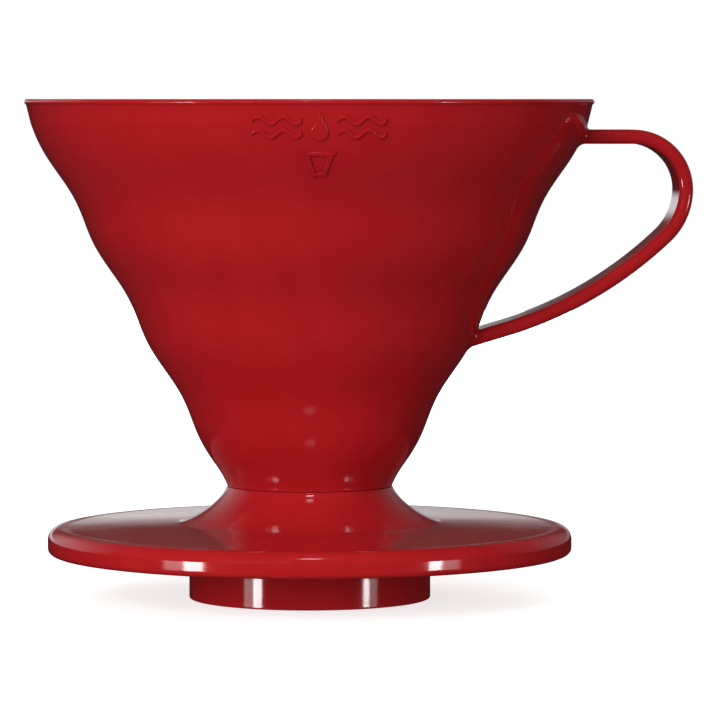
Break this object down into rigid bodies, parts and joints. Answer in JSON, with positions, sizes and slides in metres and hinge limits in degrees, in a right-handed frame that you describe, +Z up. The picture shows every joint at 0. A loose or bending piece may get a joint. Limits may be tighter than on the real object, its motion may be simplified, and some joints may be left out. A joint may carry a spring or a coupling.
{
  "type": "pour over dripper",
  "caption": "Cone-shaped pour-over coffee dripper with a waved wall, spiral inner ribs, a loop handle and a round saucer base with a flared collar and locating ring.",
  "frame": {"origin": "on the cone's axis, at the foot of the locating ring, which is the lowest face", "axes": "+Z up along the cone's axis, +X towards the handle"},
  "size_m": [0.1359, 0.116, 0.102],
  "materials": {
    "cone_plastic": "polished injection-moulded red plastic",
    "base_plastic": "polished injection-moulded red plastic"
  },
  "bodies": {
    "base": {"base_collar": "base_plastic", "base_plate": "base_plastic", "plate_skirt": "base_plastic", "locating_ring": "base_plastic", "socket_webs": "base_plastic"},
    "cone": {"cone_wall": "cone_plastic", "outlet_neck": "cone_plastic", "long_ribs": "cone_plastic", "short_ribs": "cone_plastic", "raised_mark": "cone_plastic", "handle": "cone_plastic"}
  },
  "joints": [
    {"name": "cone_lift", "type": "slide", "parent": "base", "child": "cone", "axis": [0, 0, 1], "range_m": [0, 0.025]}
  ]
}
